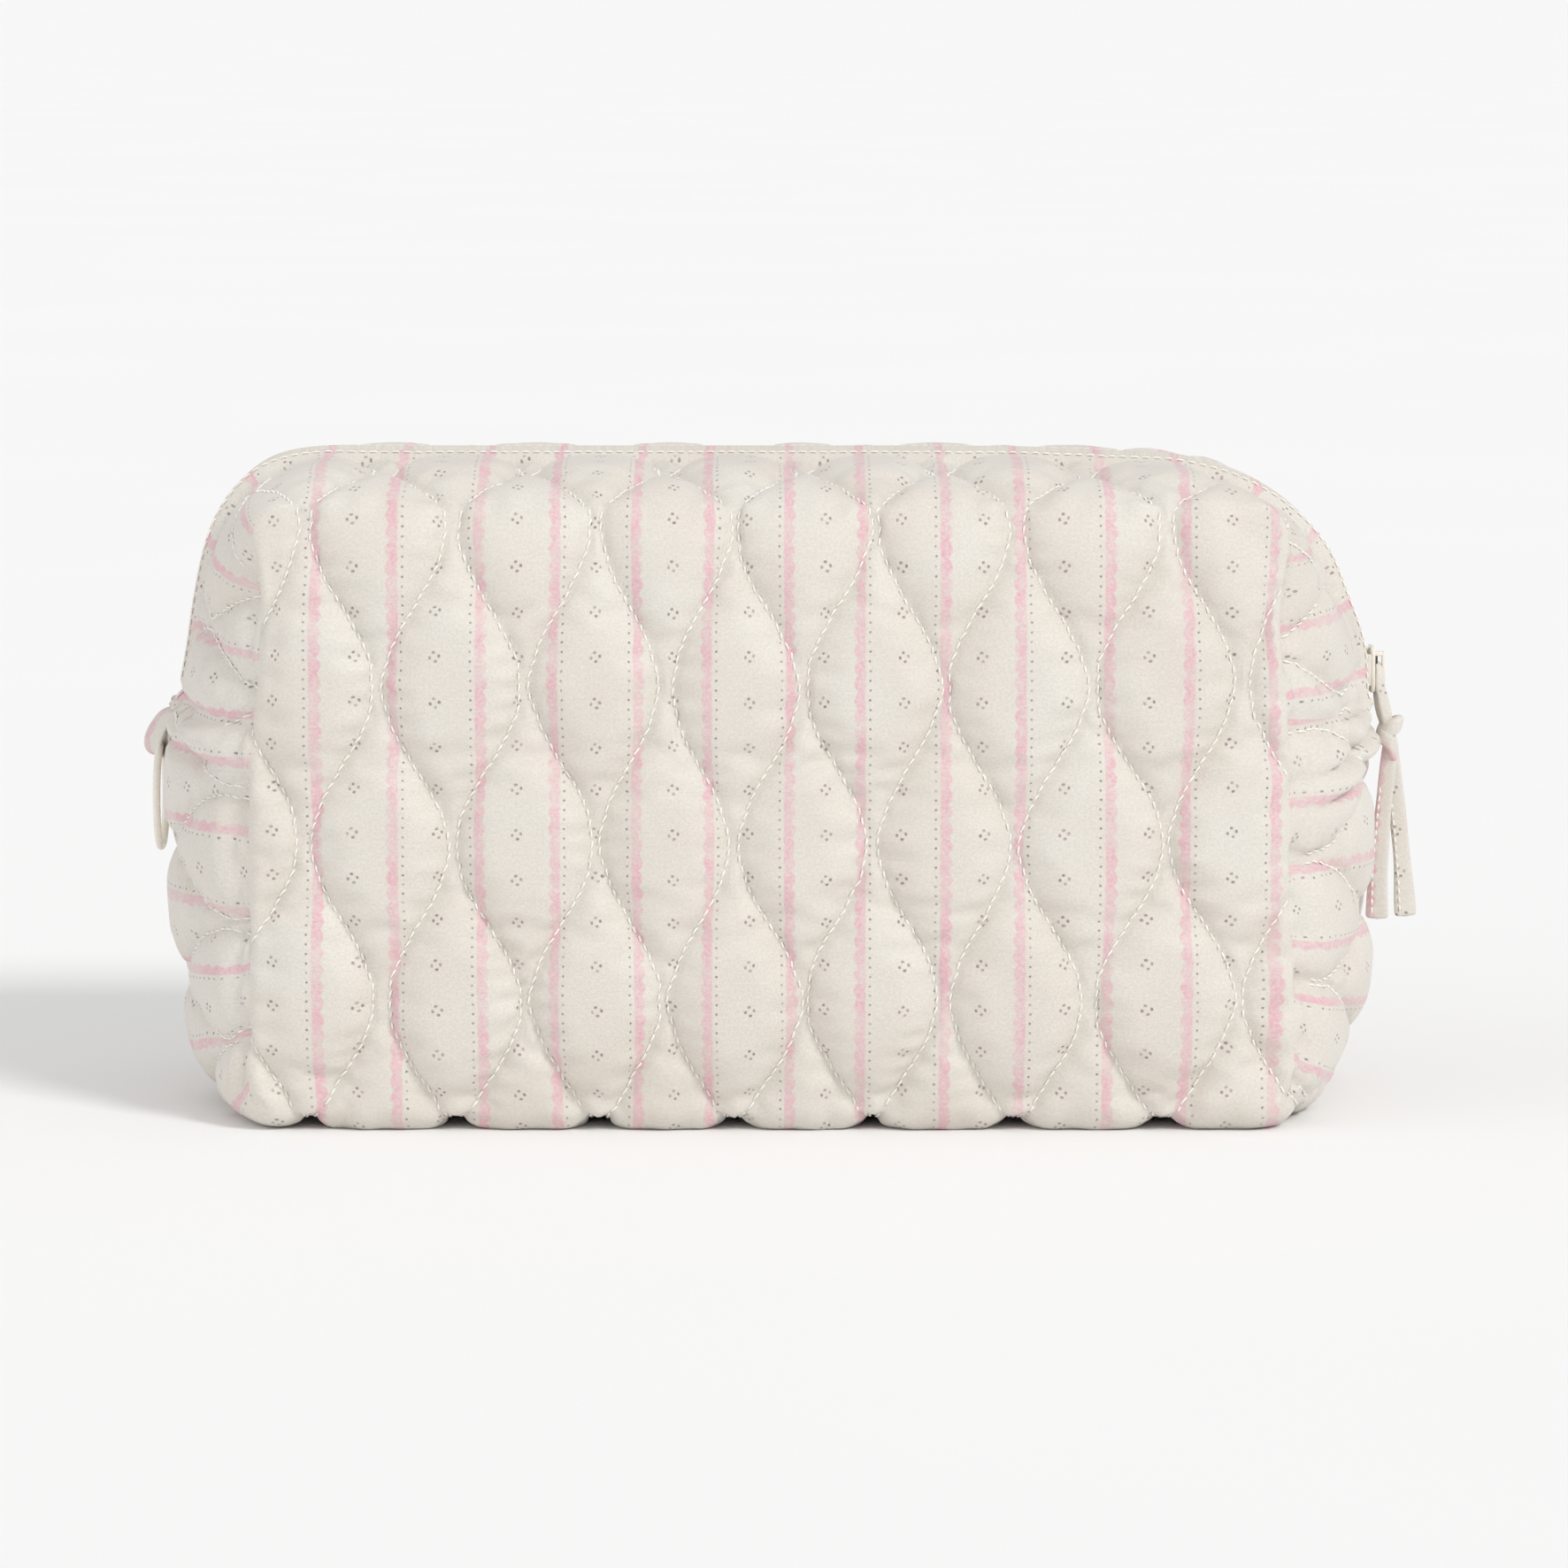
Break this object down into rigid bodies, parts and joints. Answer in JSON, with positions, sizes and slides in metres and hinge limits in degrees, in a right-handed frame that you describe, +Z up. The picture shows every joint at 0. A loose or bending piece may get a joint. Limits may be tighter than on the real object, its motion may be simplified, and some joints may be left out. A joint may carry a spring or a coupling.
{
  "type": "makeup bag",
  "caption": "Boxy quilted makeup bag with a zip over the top, a knotted cloth pull tie and a ring on a side tab.",
  "frame": {"origin": "middle of the flat base, on the surface that the bag stands on", "axes": "+X along the length to the end where the slider rests, -Y the front, +Z up"},
  "size_m": [0.2782, 0.12, 0.1428],
  "materials": {
    "printed_sateen": "pale cream printed cotton sateen, quilted",
    "wadding": "white polyester wadding",
    "lining": "cream plain-weave lining",
    "zip_tape": "cream woven tape",
    "nylon_coil": "cream nylon coil",
    "enamelled_metal": "cream enamel over die-cast metal, satin",
    "stop_metal": "pressed metal stops"
  },
  "bodies": {
    "bag": {"body_cover": "printed_sateen", "body_wadding": "wadding", "body_lining": "lining", "right_end_binding": "zip_tape", "left_end_binding": "zip_tape", "right_front_tape_end": "zip_tape", "left_front_tape_end": "zip_tape", "right_front_coil_end": "nylon_coil", "left_front_coil_end": "nylon_coil", "zip_top_stop_front": "stop_metal", "right_back_tape_end": "zip_tape", "left_back_tape_end": "zip_tape", "right_back_coil_end": "nylon_coil", "left_back_coil_end": "nylon_coil", "zip_top_stop_back": "stop_metal", "zip_bottom_stop": "stop_metal", "ring_tab": "printed_sateen"},
    "front_flap": {"front_flap_cover": "printed_sateen", "front_flap_wadding": "wadding", "front_flap_lining": "lining", "front_zip_tape": "zip_tape", "front_zip_coil": "nylon_coil"},
    "back_flap": {"back_flap_cover": "printed_sateen", "back_flap_wadding": "wadding", "back_flap_lining": "lining", "back_zip_tape": "zip_tape", "back_zip_coil": "nylon_coil"},
    "slider": {"zip_slider": "enamelled_metal"},
    "tie": {"pull_tie": "printed_sateen"},
    "ring": {"side_ring": "enamelled_metal"}
  },
  "joints": [
    {"name": "front_flap_open", "type": "hinge", "parent": "bag", "child": "front_flap", "pos_m": [0, -0.0586, 0.104], "axis": [-1, 0, 0], "range_deg": [-26, 0]},
    {"name": "back_flap_open", "type": "hinge", "parent": "bag", "child": "back_flap", "pos_m": [0, 0.0586, 0.104], "axis": [1, 0, 0], "range_deg": [-26, 0]},
    {"name": "slider_run", "type": "hinge", "parent": "bag", "child": "slider", "pos_m": [0.082, 0, 0.094], "axis": [0, -1, 0], "range_deg": [0, 84]},
    {"name": "pull_tie_swing", "type": "hinge", "parent": "slider", "child": "tie", "pos_m": [0.13295, 0, 0.094], "axis": [0, -1, 0], "range_deg": [0, 95]},
    {"name": "ring_swing", "type": "hinge", "parent": "bag", "child": "ring", "pos_m": [-0.13345, 0, 0.07715], "axis": [0, 1, 0], "range_deg": [0, 120]}
  ]
}
